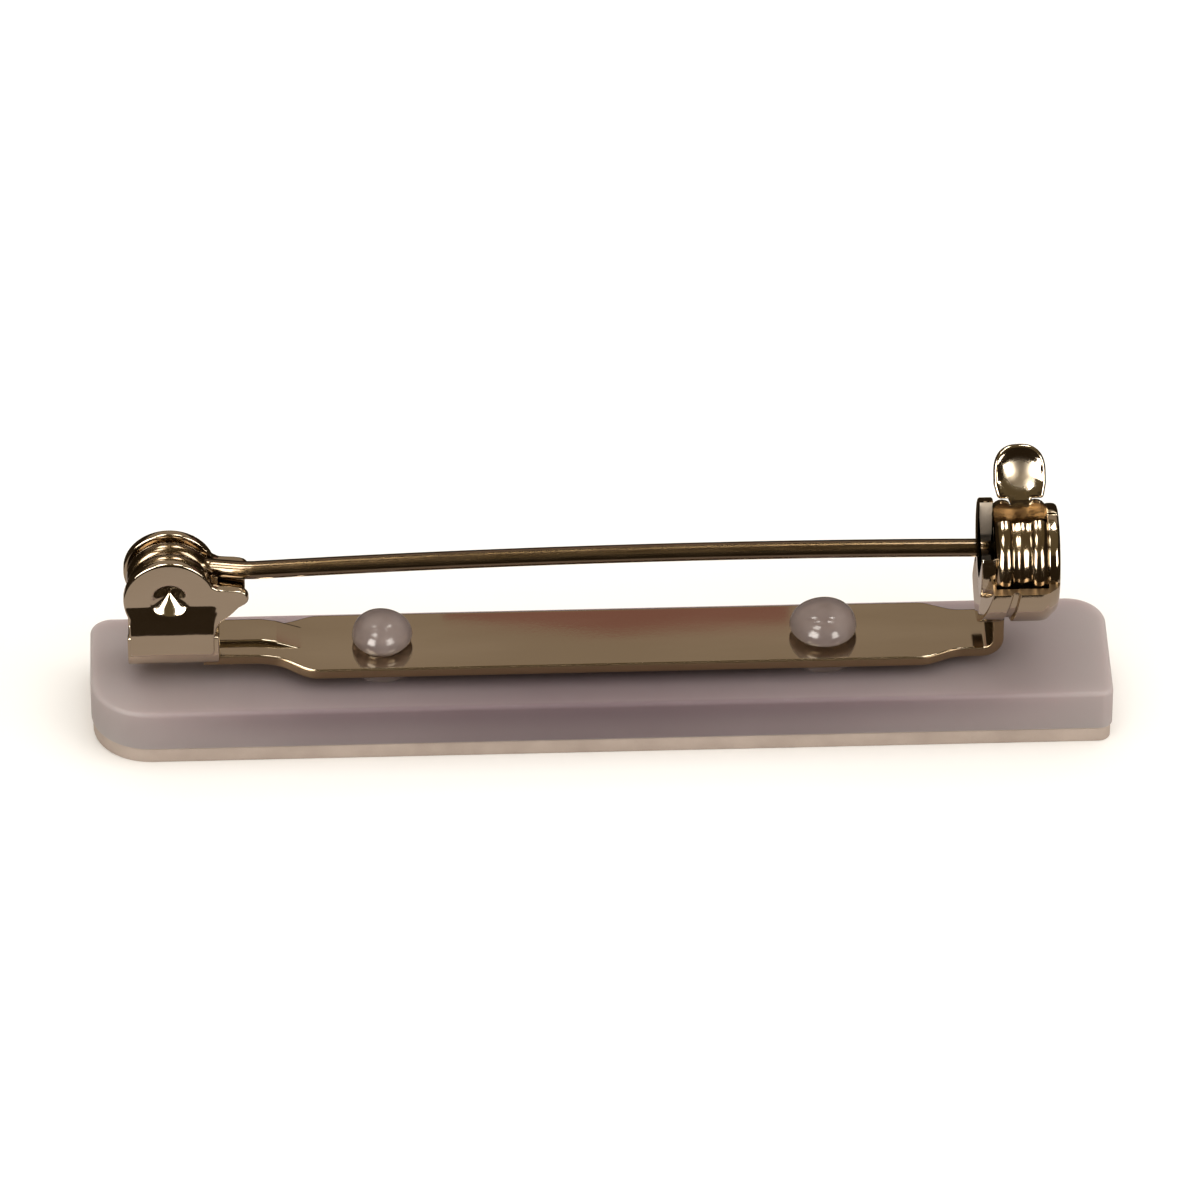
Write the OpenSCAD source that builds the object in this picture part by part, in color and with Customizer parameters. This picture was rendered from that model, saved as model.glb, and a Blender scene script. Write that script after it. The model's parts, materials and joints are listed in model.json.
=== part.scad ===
// Self-adhesive bar pin with a coiled, hinged pin and a turning safety catch.
// The origin is the centre of the adhesive underside. X runs from the hinge to the catch, Z is up.

/* [Base bar] */
// Length of the plastic base bar
base_l = 38.1; // [37:0.1:44]
// Width of the plastic base bar
base_w = 5.9; // [5:0.1:8]
// Thickness of the plastic base bar
base_t = 1.65; // [1:0.05:3]
// Corner radius at the front left
corner_fl = 2.2; // [0.3:0.05:2.4]
// Corner radius at the front right
corner_fr = 0.45; // [0.3:0.05:2.4]
// Corner radius at the back right
corner_br = 1.45; // [0.3:0.05:2.4]
// Corner radius at the back left
corner_bl = 0.8; // [0.3:0.05:2.4]

/* [Adhesive pad] */
// Thickness of the foam adhesive strip
pad_t = 0.65; // [0.3:0.05:1.2]
// Step between the strip's edge and the edge of the bar
pad_inset = 0.06; // [0:0.02:0.3]

/* [Stakes] */
// Place of the left stake along the bar
stake_left_x = -8.15; // [-9:0.05:-6]
// Place of the right stake along the bar
stake_right_x = 8.35; // [6:0.05:10]
// Radius of the left stake's melted head
head_left_r = 1.15; // [1:0.05:1.4]
// Radius of the right stake's melted head
head_right_r = 1.28; // [1:0.05:1.4]
// Height of a head's dome above its rim
head_dome = 0.8; // [0.5:0.02:0.95]
// Height of a head's rim above the plate
head_lift = 0.36; // [0.1:0.02:0.5]
// Radius of a stake where it passes through the plate
stake_r = 0.85; // [0.6:0.05:0.9]
// Radius of the shoulder that the plate rests on
shoulder_r = 1.3; // [1:0.05:1.5]

/* [Bar plate] */
// Thickness of the stamped sheet
sheet_t = 0.42; // [0.3:0.02:0.5]
// Height of the plate's underside above the plastic
plate_gap = 0.5; // [0.2:0.02:0.6]
// Width of the plate's wide part
plate_w = 3.35; // [2.8:0.05:4]
// Left end of the wide part
wide_from = -11.05; // [-11.5:0.05:-10]
// Right end of the wide part
wide_to = 12.45; // [11.5:0.05:12.6]
// Width of the neck on the hinge side
hinge_neck_w = 2.1; // [1.8:0.05:2.4]
// Width of the neck on the catch side
catch_neck_w = 2.4; // [1.8:0.05:2.8]
// Width of the pressed rib on the hinge neck
rib_w = 1.4; // [1:0.05:1.6]
// Height of the pressed rib
rib_h = 0.43; // [0.2:0.02:0.6]

/* [Hinge] */
// Place of the hinge axis along the bar
hinge_x = -16; // [-16.5:0.05:-15.8]
// Height of the hinge axis above the plastic
hinge_h = 3.87; // [3.6:0.02:4.2]
// Radius of the round ears
ear_r = 1.71; // [1.68:0.01:1.8]
// Thickness of an ear, where the sheet is pressed thinner
ear_t = 0.34; // [0.3:0.01:0.4]
// Clear width between the ears
ear_gap = 1.46; // [1.44:0.01:1.6]
// Radius of the conical dimple at its mouth
dimple_r = 0.53; // [0.4:0.01:0.6]
// Depth of the conical dimple
dimple_depth = 0.6; // [0.4:0.02:0.64]

/* [Pin stem] */
// Diameter of the wire
wire_d = 0.68; // [0.6:0.01:0.7]
// Radius of the coil, measured to the middle of the wire
coil_r = 1.26; // [1.24:0.01:1.28]
// Distance between the two turns of the coil
coil_pitch = 0.62; // [0.56:0.01:0.66]
// Place of the wire's point along the bar
point_x = 16.2; // [15.8:0.05:16.25]
// Length of the ground point
point_l = 2.2; // [1:0.1:3]
// Height of the wire's highest stretch above the plastic
crown_h = 4.83; // [4.8:0.01:4.9]

/* [Catch] */
// Height of the roller's axis above the plastic
catch_h = 4.38; // [4.3:0.02:4.5]
// Radius of the roller over its ribs
roller_r = 2.05; // [1.95:0.01:2.1]
// Width of the slot that the wire drops through
slot_w = 0.94; // [0.9:0.02:1]
// Running clearance of the roller in its bearings
run_gap = 0.06; // [0.04:0.01:0.08]
// Length of the thumb tab, from the roller's axis to its tip
tab_reach = 4.1; // [4:0.05:4.4]
// Width of the thumb tab
tab_w = 1.94; // [1.6:0.02:1.96]
// Lean of the thumb tab behind the vertical, in degrees
tab_lean = 34; // [24:1:36]

/* [Hidden] */
$fn = 48;

// Step that carries a cut past the face that it opens
past = 0.5;
// Depth by which one shape of a solid reaches into the next
lap = 0.1;
// Half size of a cut that is wider than the whole catch
wide = 4;
// Gap between pieces that lie on each other
seat_gap = 0.02;

// Heights
base_top = pad_t + base_t;
plate_z = base_top + plate_gap;
plate_top = plate_z + sheet_t;
hinge_z = base_top + hinge_h;
catch_z = base_top + catch_h;

// Stakes: gap around the shaft, and how much a head's root is thicker than the shaft
stake_gap = 0.05;
head_root = 0.12;

// Hinge end: the neck is stepped up, and a low channel under the ears carries them
step_l = 0.7;
step_h = 0.28;
hinge_neck_z = plate_z + step_h;
wall_t = 0.36;
channel_from = hinge_x - 1.6;
channel_to = hinge_x + 1.8;
channel_w = 2.4;
channel_h = 1.48;
channel_bend = 0.6;
strip_from = channel_to - 0.6;
rib_round = 0.25;
rib_from = channel_to - 0.4;
rib_to = wide_from + 0.15;
rib_hollow_from = channel_to + 0.25;
rib_hollow_to = wide_from - step_l - 0.1;
ear_root_from = -1.5;
ear_root_to = 1.62;
ear_root_h = 0.9;
dish_sphere_r = 8;
dish_depth = 0.12;
boss_r = coil_r - wire_d / 2 - run_gap;
boss_l = (ear_gap - coil_pitch) / 2;

// Tail on each ear, outlined from the hinge axis, and the ledge between the tails under the wire
tail_outline = [[1, 1.05], [1.5, 0.66], [1.9, 0.42], [2.6, 0.38], [2.6, -0.65], [1.62, -1.9], [0, -1.9]];
tail_end_x = 2.58;
tail_end_z = 0.03;
tail_end_r = 0.36;
ledge_from = 1.78;
ledge_to = 2.8;
ledge_top = 0.09;

// Pin stem: a very slow curve from the coil to the point, which is highest at crown_x
crown_x = 5;
bow_r = 390;
kink_r = 0.7;
coil_mid = [hinge_x, hinge_z];
bow_mid = [crown_x, base_top + crown_h - bow_r];
kink_mid = meet(coil_mid, coil_r + kink_r, bow_mid, bow_r + kink_r);
bow_to = asin((point_x - point_l - crown_x) / bow_r);
point_r = 0.07;
// Where a length of wire starts inside the next: how much thinner it is, and how far it reaches in
wire_step = 0.002;
point_lap = 0.05;
kink_lap = 3;

// Catch, from left to right: C plate, ribbed roller in its cradle, rounded end cap
cplate_from = 14.08;
cplate_r = 1.86;
cplate_bore = 0.75;
cplate_lift = 0.35;
// Direction that the C plate's opening reaches to, from straight up towards the front
opening_turn = 52;
cradle_from = 14.5;
wall_to = 14.62;
roller_from = wall_to + run_gap;
roller_to = 16.5;
cap_from = roller_to + 0.08;
cap_to = 17;
cap_r = 1.82;
cradle_in = roller_r + 0.07;
cradle_out = cradle_in + 0.38;
cradle_round = 0.9;
hub_r = 0.8;
hub_l = 0.25;
hub_end_gap = 0.05;
journal_r = 1.3;
journal_l = 0.28;
hollow_r = 1;
hollow_to = 16.36;
core_r = 1.82;
// Ribs of the roller: middle along the bar, width, radius over the rib
rib_rows = [[14.98, 0.6, roller_r], [15.62, 0.56, roller_r - 0.12], [16.22, 0.54, roller_r]];
// Bend at the catch's foot, and where the sheet that it turns up ends in the cradle
bend_r = 0.4;
bend_x = 14.2;
upright_to = catch_z - cradle_in - seat_gap;
// Seam around the cradle
groove_x = 15.26;
groove_w = 0.2;
groove_depth = 0.16;
// Thumb tab, measured from the roller's axis
tab_t = 0.42;
tab_x = 15.66;
tab_foot_w = 0.84;
tab_foot_t = 0.26;
tab_foot_r = 1.75;
tab_flare_r = 2.24;
tab_tip_r = 0.9;
tab_round_z = tab_reach - tab_tip_r;
// Rows of the tab's outline: height, and how far the left and the right edge step in there
tab_rows = [[tab_flare_r, 0.16, 0.1], [tab_flare_r + 0.5, 0, 0],
            [tab_round_z - 0.2, 0, 0], [tab_round_z + 0.3, 0.07, 0.07]];
cup_r = 1.25;
cup_depth = 0.26;

// Point at distance r from p and s from q, on the right of the way from p down to q
function meet(p, r, q, s) =
    let (d = norm(q - p), u = (q - p) / d, a = (r * r - s * s + d * d) / (2 * d))
    p + a * u + sqrt(r * r - a * a) * [-u[1], u[0]];

// Direction from p to q in degrees, from 0 to 360
function heading(p, q) = (atan2(q[1] - p[1], q[0] - p[0]) + 360) % 360;

// Turns a shape built around Z so that it lies around X, with its Z along +X
module around_x() {
    translate([0, 0, catch_z]) rotate([0, 90, 0]) children();
}

// Arc of round wire in the middle plane: centre, radius, directions of its two ends, radius of the wire
module wire_arc(mid, r, from, to, wire_r, steps = 48) {
    translate([mid[0], 0, mid[1]])
        rotate([90, 0, 0])
            rotate([0, 0, from])
                rotate_extrude(angle = to - from, $fn = steps)
                    translate([r, 0]) circle(wire_r, $fn = 24);
}

// Box from its lowest corner to its highest
module block(from, to) {
    translate(from) cube(to - from);
}

// Rectangle with a radius of its own at each corner: front left, front right, back right, back left
module four_corner(l, w, radii) {
    sides = [[-1, -1], [1, -1], [1, 1], [-1, 1]];
    difference() {
        square([l, w], center = true);
        for (i = [0:3])
            translate([sides[i][0] * l / 2, sides[i][1] * w / 2])
                square(2 * radii[i], center = true);
    }
    for (i = [0:3])
        translate([sides[i][0] * (l / 2 - radii[i]), sides[i][1] * (w / 2 - radii[i])])
            circle(radii[i]);
}

// Foam strip with adhesive on both faces
module adhesive_pad() {
    radii = [corner_fl, corner_fr, corner_br, corner_bl];
    color("tan")
        linear_extrude(pad_t - seat_gap)
            four_corner(base_l - 2 * pad_inset, base_w - 2 * pad_inset, radii);
}

// One stake of the base: shoulder under the plate, shaft through it and melted head over it
module stake(x, head_r) {
    cap_sphere = (head_r * head_r + head_dome * head_dome) / (2 * head_dome);
    rim_z = plate_top + head_lift;
    translate([x, 0, base_top - lap]) cylinder(r = shoulder_r, h = lap + plate_gap - seat_gap);
    translate([x, 0, base_top]) cylinder(r = stake_r, h = rim_z - base_top);
    translate([x, 0, plate_top + seat_gap])
        cylinder(r1 = stake_r + head_root, r2 = head_r, h = head_lift - seat_gap);
    intersection() {
        translate([x, 0, rim_z + head_dome - cap_sphere]) sphere(cap_sphere);
        translate([x, 0, rim_z]) cylinder(r = head_r + past, h = head_dome + past);
    }
}

// Translucent plastic bar with its two stakes
module base_bar() {
    color("thistle") {
        translate([0, 0, pad_t])
            linear_extrude(base_t)
                four_corner(base_l, base_w, [corner_fl, corner_fr, corner_br, corner_bl]);
        stake(stake_left_x, head_left_r);
        stake(stake_right_x, head_right_r);
    }
}

// Plan of the flat strip: neck, wide part with chamfered ends, neck
module strip_plan() {
    a = hinge_neck_w / 2;
    b = plate_w / 2;
    c = catch_neck_w / 2;
    left = wide_from - (b - a);
    right = wide_to + (b - c);
    half = [[strip_from, a], [left, a], [wide_from, b], [wide_to, b], [right, c], [bend_x, c]];
    polygon(concat(half, [for (i = [len(half) - 1:-1:0]) [half[i][0], -half[i][1]]]));
}

// Side view of the strip: raised neck, step down, flat plate, all one sheet thick
module strip_side() {
    up = wide_from - step_l;
    shift = sheet_t * tan(atan((hinge_neck_z - plate_z) / step_l) / 2);
    polygon([[strip_from, hinge_neck_z], [up, hinge_neck_z], [wide_from, plate_z], [bend_x, plate_z],
             [bend_x, plate_top], [wide_from + shift, plate_top],
             [up + shift, hinge_neck_z + sheet_t], [strip_from, hinge_neck_z + sheet_t]]);
}

// Rounded rib along the hinge neck
module neck_rib() {
    top_z = hinge_neck_z + sheet_t + rib_h;
    flat = rib_w / 2 - rib_round;
    length = rib_to - rib_from;
    block([rib_from, -rib_w / 2, hinge_neck_z + lap], [rib_to, rib_w / 2, top_z - rib_round]);
    block([rib_from, -flat, top_z - 2 * rib_round], [rib_to, flat, top_z]);
    for (side = [-1, 1])
        translate([rib_from, side * flat, top_z - rib_round])
            rotate([0, 90, 0]) cylinder(r = rib_round, h = length);
}

// Hollow under the rib, as pressing leaves it
module rib_hollow() {
    half = rib_w / 2 - wall_t;
    block([rib_hollow_from, -half, hinge_neck_z - past],
          [rib_hollow_to, half, hinge_neck_z + rib_h]);
}

// U-shaped channel that carries the two ears
module hinge_channel() {
    half = channel_w / 2;
    inside = half - wall_t;
    translate([channel_from, 0, hinge_neck_z])
        rotate([90, 0, 90])
            linear_extrude(channel_to - channel_from)
                difference() {
                    union() {
                        translate([-half, channel_bend]) square([channel_w, channel_h - channel_bend]);
                        translate([-half + channel_bend, 0])
                            square([channel_w - 2 * channel_bend, channel_h]);
                        for (side = [-1, 1])
                            translate([side * (half - channel_bend), channel_bend])
                                circle(channel_bend);
                    }
                    translate([-inside, sheet_t]) square([2 * inside, channel_h]);
                }
}

// Outline of one ear, seen from the side, around the hinge axis
module ear_outline() {
    root_z = hinge_neck_z + ear_root_h - hinge_z;
    circle(ear_r);
    polygon([[ear_root_from, 0], [ear_root_to, 0], [ear_root_to, root_z], [ear_root_from, root_z]]);
    polygon(tail_outline);
    translate([tail_end_x, tail_end_z]) circle(tail_end_r);
}

// Round ear with a shallow dish, a conical dimple and, inside, the boss that carries the coil
module ear(side) {
    inner = side * ear_gap / 2;
    outer = inner + side * ear_t;
    difference() {
        union() {
            translate([hinge_x, max(inner, outer), hinge_z])
                rotate([90, 0, 0]) linear_extrude(ear_t) ear_outline();
            translate([hinge_x, inner + side * lap, hinge_z])
                rotate([side * 90, 0, 0]) cylinder(r = boss_r, h = lap + boss_l);
        }
        translate([hinge_x, outer + side * (dish_sphere_r - dish_depth), hinge_z])
            sphere(dish_sphere_r, $fn = 96);
        translate([hinge_x, outer, hinge_z])
            rotate([side * 90, 0, 0])
                translate([0, 0, -dimple_depth])
                    cylinder(r1 = 2 * dimple_r, r2 = 0, h = 2 * dimple_depth);
    }
}

// Sheet bent up from the catch-side neck into the cradle
module catch_upright() {
    w = catch_neck_w;
    translate([bend_x, w / 2, plate_top + bend_r])
        rotate([90, 0, 0])
            rotate([0, 0, -90])
                rotate_extrude(angle = 90) translate([bend_r, 0]) square([sheet_t, w]);
    block([bend_x + bend_r, -w / 2, plate_top + bend_r], [bend_x + bend_r + sheet_t, w / 2, upright_to]);
}

// Half tube under the roller, closed at the right by a rounded wall and at the left by a thin one
module catch_cradle() {
    difference() {
        around_x()
            rotate_extrude() {
                translate([0, cradle_from]) square([cradle_out, cap_to - cradle_round - cradle_from]);
                translate([0, cradle_from]) square([cradle_out - cradle_round, cap_to - cradle_from]);
                intersection() {
                    translate([cradle_out - cradle_round, cap_to - cradle_round]) circle(cradle_round);
                    square([cradle_out, cap_to]);
                }
            }
        around_x() translate([0, 0, wall_to]) cylinder(r = cradle_in, h = cap_from - wall_to);
        block([cradle_from - past, -wide, catch_z], [cap_to + past, wide, catch_z + wide]);
        around_x()
            difference() {
                translate([0, 0, groove_x]) cylinder(r = cradle_out + past, h = groove_w);
                translate([0, 0, groove_x - past])
                    cylinder(r = cradle_out - groove_depth, h = groove_w + 2 * past);
            }
    }
}

// Upper half of the rounded end cap
module catch_cap() {
    edge = (cap_to - cap_from) / 2;
    around_x()
        rotate_extrude() {
            translate([0, cap_from]) square([cap_r - edge, 2 * edge]);
            translate([cap_r - edge, cap_from + edge]) circle(edge);
        }
}

// Plate beside the roller, centred on the wire
module catch_cplate() {
    translate([0, 0, cplate_lift])
        around_x() translate([0, 0, cplate_from]) cylinder(r = cplate_r, h = wall_to - cplate_from);
}

// Opening of the C plate, from straight up to the front, so that the wire can drop in
module cplate_opening() {
    half = slot_w / 2;
    way = [-sin(opening_turn), cos(opening_turn)];
    edge = half * [-cos(opening_turn), -sin(opening_turn)];
    translate([cplate_from - past, 0, catch_z + cplate_lift])
        rotate([90, 0, 90])
            linear_extrude(wall_to + lap - cplate_from + past)
                polygon([[half, -cplate_lift], [half, wide], edge + 1.5 * wide * way, edge]);
}

// Bores of the catch: the wire's opening, the roller's journal and its hub
module catch_bores() {
    around_x()
        translate([0, 0, cplate_from - past]) cylinder(r = cplate_bore, h = wall_to - cplate_from + past);
    around_x()
        translate([0, 0, wall_to - journal_l]) cylinder(r = journal_r + run_gap, h = journal_l + lap);
    around_x()
        translate([0, 0, cap_from - lap])
            cylinder(r = hub_r + run_gap, h = lap + hub_l + hub_end_gap);
    cplate_opening();
}

// Stamped sheet metal: plate, hinge ears and catch housing in one piece
module bar_plate() {
    color("silver")
        difference() {
            union() {
                intersection() {
                    translate([0, 0, plate_z - past]) linear_extrude(plate_top + wide) strip_plan();
                    translate([0, wide, 0]) rotate([90, 0, 0]) linear_extrude(2 * wide) strip_side();
                }
                neck_rib();
                hinge_channel();
                for (side = [-1, 1]) ear(side);
                block([hinge_x + ledge_from, -ear_gap / 2 - lap, hinge_z + ledge_top - ear_t],
                      [hinge_x + ledge_to, ear_gap / 2 + lap, hinge_z + ledge_top]);
                catch_upright();
                difference() {
                    union() {
                        catch_cradle();
                        catch_cap();
                        catch_cplate();
                    }
                    catch_bores();
                }
            }
            rib_hollow();
            for (x = [stake_left_x, stake_right_x])
                translate([x, 0, plate_z - past]) cylinder(r = stake_r + stake_gap, h = sheet_t + 2 * past);
        }
}

// Two turns of wire side by side around the hinge axis
module coil_rings() {
    translate([hinge_x, 0, hinge_z])
        rotate([90, 0, 0])
            rotate_extrude()
                for (side = [-1, 1])
                    translate([coil_r, side * coil_pitch / 2]) circle(wire_d / 2, $fn = 24);
}

// Wire with two turns around the hinge axis, a kink, a slow bow and a ground point
module pin_stem() {
    tip = bow_mid + bow_r * [sin(bow_to), cos(bow_to)];
    color("dimgray") {
        coil_rings();
        wire_arc(kink_mid, kink_r, heading(kink_mid, coil_mid), heading(kink_mid, bow_mid) + kink_lap,
                 wire_d / 2 - wire_step);
        wire_arc(bow_mid, bow_r, 90 - bow_to, heading(bow_mid, kink_mid), wire_d / 2, 1440);
        translate([tip[0], 0, tip[1]])
            rotate([0, 90 + bow_to, 0])
                translate([0, 0, -point_lap])
                    cylinder(r1 = wire_d / 2 - wire_step, r2 = point_r, h = point_lap + point_l, $fn = 24);
    }
}

// Outline of the thumb tab, seen from the front, up from the roller's axis
module tab_outline() {
    half = tab_w / 2;
    translate([-tab_foot_w / 2, tab_foot_r]) square([tab_foot_w, tab_flare_r + lap - tab_foot_r]);
    polygon(concat([for (row = tab_rows) [half - row[2], row[0]]],
                   [for (i = [len(tab_rows) - 1:-1:0]) [tab_rows[i][1] - half, tab_rows[i][0]]]));
    translate([0, tab_round_z]) circle(tab_tip_r);
}

// Cupped thumb tab, leaning back from the roller
module thumb_tab() {
    cup_z = (tab_flare_r + tab_reach) / 2;
    translate([tab_x, 0, catch_z])
        rotate([-tab_lean, 0, 0])
            difference() {
                translate([0, tab_t / 2, 0]) rotate([90, 0, 0]) linear_extrude(tab_t) tab_outline();
                translate([0, -tab_t / 2 - cup_r + cup_depth, cup_z]) sphere(cup_r);
                block([-tab_foot_w, -tab_t, 0], [tab_foot_w, tab_t / 2 - tab_foot_t, tab_flare_r]);
            }
}

// Turning lock: ribbed, hollow roller with a slot for the wire and a thumb tab
module catch_roller() {
    color("gray")
        difference() {
            union() {
                around_x()
                    rotate_extrude() {
                        translate([0, roller_from]) square([core_r, roller_to - roller_from]);
                        for (row = rib_rows) translate([row[2] - row[1] / 2, row[0]]) circle(row[1] / 2);
                    }
                around_x()
                    translate([0, 0, roller_from - journal_l]) cylinder(r = journal_r, h = journal_l + lap);
                around_x() translate([0, 0, roller_to - lap]) cylinder(r = hub_r, h = lap + hub_l);
                thumb_tab();
            }
            around_x()
                translate([0, 0, roller_from - past])
                    cylinder(r = hollow_r, h = hollow_to - roller_from + past);
            block([roller_from - past, -slot_w / 2, catch_z], [hollow_to, slot_w / 2, catch_z + wide]);
        }
}

adhesive_pad();
base_bar();
bar_plate();
pin_stem();
catch_roller();
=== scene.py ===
import json
import math
from functools import partial

import bmesh
import bpy
import numpy as np
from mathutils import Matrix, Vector


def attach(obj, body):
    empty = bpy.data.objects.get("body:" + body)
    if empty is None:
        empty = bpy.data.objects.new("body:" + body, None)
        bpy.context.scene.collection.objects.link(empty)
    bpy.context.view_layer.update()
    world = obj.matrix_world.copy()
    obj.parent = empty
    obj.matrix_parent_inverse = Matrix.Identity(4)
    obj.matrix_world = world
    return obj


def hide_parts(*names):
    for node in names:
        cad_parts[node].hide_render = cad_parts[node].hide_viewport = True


# Self-adhesive bar pin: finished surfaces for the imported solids. Values in the dictionaries are millimetres.
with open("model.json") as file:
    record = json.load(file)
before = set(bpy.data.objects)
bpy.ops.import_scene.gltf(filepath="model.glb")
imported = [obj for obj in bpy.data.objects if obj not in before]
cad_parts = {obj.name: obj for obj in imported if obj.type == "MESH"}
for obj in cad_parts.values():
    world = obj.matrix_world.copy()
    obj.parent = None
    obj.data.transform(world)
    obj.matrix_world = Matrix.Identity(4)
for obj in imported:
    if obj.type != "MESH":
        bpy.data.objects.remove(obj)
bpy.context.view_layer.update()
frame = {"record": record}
mm = 0.001

# From the imported record: the body of each node, and the middles of the two joints
record = frame["record"]
bodyOf = {node: body for body, nodes in record["behaviour"]["bodies"].items() for node in nodes}
pivots = {joint["name"]: [v / mm for v in joint["pos_m"]] for joint in record["behaviour"]["joints"]}
hingeX = pivots["pin_hinge"][0]

# Heights that all the pieces share
level = {
    "baseTop": 2.30,
    "plateUnder": 2.80,
    "plateTop": 3.22,
    "neckUnder": 3.08,
    "hinge": pivots["pin_hinge"][2],
    "catch": pivots["catch_turn"][2],
}


def hexColour(text):
    values = [int(text[i:i + 2], 16) / 255 for i in (1, 3, 5)]
    return [v / 12.92 if v <= 0.04045 else ((v + 0.055) / 1.055) ** 2.4 for v in values] + [1.0]


def addNode(tree, kind, inputs=None, settings=None, stops=()):
    # inputs hold values, sockets, or nodes, whose first active output is linked; stops are a colour ramp's
    node = tree.nodes.new(kind)
    for key, value in (settings or {}).items():
        setattr(node, key, value)
    for key, value in (inputs or {}).items():
        if isinstance(value, bpy.types.Node):
            value = next(output for output in value.outputs if output.enabled)
        if isinstance(value, bpy.types.NodeSocket):
            tree.links.new(value, node.inputs[key])
        else:
            node.inputs[key].default_value = value
    for i, (position, colour) in enumerate(stops):
        elements = node.color_ramp.elements
        element = elements[i] if i < len(elements) else elements.new(position)
        element.position = position
        element.color = colour
    return node


def colourStops(spread, dark, pale):
    # from dark to pale over this part of the noise, around its middle
    return [(0.5 - spread / 2, hexColour(dark)), (0.5 + spread / 2, hexColour(pale))]


def greyStops(low, high):
    return [(0.3, (low, low, low, 1)), (0.7, (high, high, high, 1))]


# settings of nodes, and what the nickel finishes share
absolute = {"operation": "ABSOLUTE"}
multiply = {"operation": "MULTIPLY"}
maximum = {"operation": "MAXIMUM"}
distanceBetween = {"operation": "DISTANCE"}
smoothly = {"interpolation_type": "SMOOTHSTEP"}
inColour = {"data_type": "RGBA"}
nickelTint = colourStops(0.3, "#c2b49e", "#cdc0ab")
nickelGloss = greyStops(0.07, 0.12)
lacquered = {"Metallic": 1.0, "Coat Weight": 1.0, "Coat IOR": 1.62}


def newMaterial(name):
    # an empty material, a function that adds a node to it, and its coordinates
    finish = bpy.data.materials.new(name)
    finish.use_nodes = True
    finish.node_tree.nodes.clear()
    add = partial(addNode, finish.node_tree)
    return finish, add, add("ShaderNodeTexCoord").outputs


def dress(finish, inputs):
    # ends a material with its shader
    shader = addNode(finish.node_tree, "ShaderNodeBsdfPrincipled", inputs)
    addNode(finish.node_tree, "ShaderNodeOutputMaterial", {"Surface": shader})
    return finish


def oneNoise(add, noise, tint, gloss, strength, depth):
    # shader inputs of a finish in which one noise drives colour, gloss and bump; depth in mm
    return {
        "Base Color": add("ShaderNodeValToRGB", {"Fac": noise}, stops=tint),
        "Roughness": add("ShaderNodeValToRGB", {"Fac": noise}, stops=gloss),
        "Normal": add("ShaderNodeBump", {"Height": noise, "Strength": strength, "Distance": depth * mm}),
    }


def platedSheet(name="BrightNickelOnRolledSheet", worn=None, shadedEdgeAxis=None):
    # Bright nickel on cold-rolled steel sheet: mirror-like, with faint rolling waves, fine grit, a warm tint.
    # worn is the centre in mm of a spot of 0.6 mm radius that handling has made dull. Edges that face along
    # the axis given are rougher, and their darker colour is painted shade.
    finish, add, coords = newMaterial(name)
    place = coords["Object"]
    rolled = add("ShaderNodeMapping", {"Vector": place, "Scale": (0.25, 1.0, 1.0)})
    cloud = add("ShaderNodeTexNoise", {"Vector": rolled, "Scale": 420.0, "Detail": 3.0})
    colour = add("ShaderNodeValToRGB", {"Fac": cloud}, stops=nickelTint)
    gloss = add("ShaderNodeValToRGB", {"Fac": cloud}, stops=nickelGloss)
    if shadedEdgeAxis:
        parts = add("ShaderNodeSeparateXYZ", {"Vector": coords["Normal"]}).outputs
        facing = add("ShaderNodeMath", {0: parts[shadedEdgeAxis]}, absolute)
        cut = add("ShaderNodeMapRange", {"Value": facing, "From Min": 0.45, "From Max": 0.8}, smoothly)
        # painted shade: edges that face along the axis get a darker brown
        colour = add("ShaderNodeMix", {0: cut, 6: colour, 7: hexColour("#8e7a60")}, inColour)
        edgeGloss = add("ShaderNodeMath", {0: cut, 1: 0.3}, multiply)
        gloss = add("ShaderNodeMath", {0: gloss, 1: edgeGloss}, maximum)
    if worn:
        away = add("ShaderNodeVectorMath", {0: place, 1: [v * mm for v in worn]}, distanceBetween)
        wornGloss = add("ShaderNodeMapRange", {
            "Value": away, "From Min": 0.4 * mm, "From Max": 0.9 * mm,
            "To Min": 0.3, "To Max": 0.0}, smoothly)
        gloss = add("ShaderNodeMath", {0: gloss, 1: wornGloss}, maximum)
    # pits of about 0.08 mm in the plating, and waves of about 1.5 mm left by the rollers
    grit = add("ShaderNodeTexNoise", {"Vector": place, "Scale": 12000.0, "Detail": 2.0})
    wave = add("ShaderNodeTexNoise", {"Vector": rolled, "Scale": 650.0, "Detail": 1.0})
    pits = add("ShaderNodeBump", {"Height": grit, "Strength": 0.04, "Distance": 0.02 * mm})
    waves = add("ShaderNodeBump", {"Height": wave, "Strength": 0.15, "Distance": 0.03 * mm, "Normal": pits})
    return dress(finish, {"Metallic": 1.0, "Base Color": colour, "Roughness": gloss, "Normal": waves})


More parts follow.
